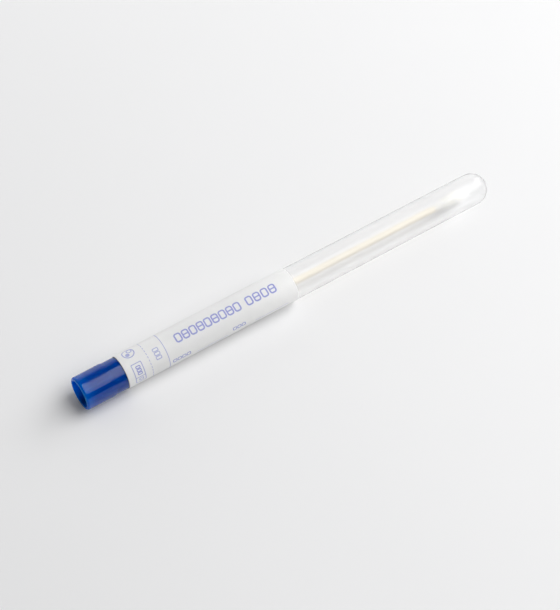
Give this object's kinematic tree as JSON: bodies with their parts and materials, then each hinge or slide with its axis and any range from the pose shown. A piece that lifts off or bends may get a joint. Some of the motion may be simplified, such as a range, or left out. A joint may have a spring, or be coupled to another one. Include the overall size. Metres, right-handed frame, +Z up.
{
  "type": "specimen swab tube",
  "caption": "Clear round-bottomed plastic tube with a paper label, closed by a hollow blue plug cap that carries a wooden stick with a cotton bud.",
  "frame": {"origin": "on the surface the tube lies on, under the middle of the whole part's length", "axes": "+X along the tube from the cap towards the round bottom, +Y across it, +Z up"},
  "size_m": [0.166, 0.0122, 0.0122],
  "materials": {
    "clear_plastic": "gloss",
    "blue_plastic": "gloss",
    "birch": "matte",
    "cotton": "matte",
    "label_paper": "matte"
  },
  "bodies": {
    "labelled_tube": {"tube": "clear_plastic", "label": "label_paper"},
    "capped_swab": {"cap": "blue_plastic", "stick": "birch", "bud": "cotton"}
  },
  "joints": [
    {"name": "swab_pull", "type": "slide", "parent": "labelled_tube", "child": "capped_swab", "axis": [-1, 0, 0], "range_m": [0, 0.152]}
  ]
}
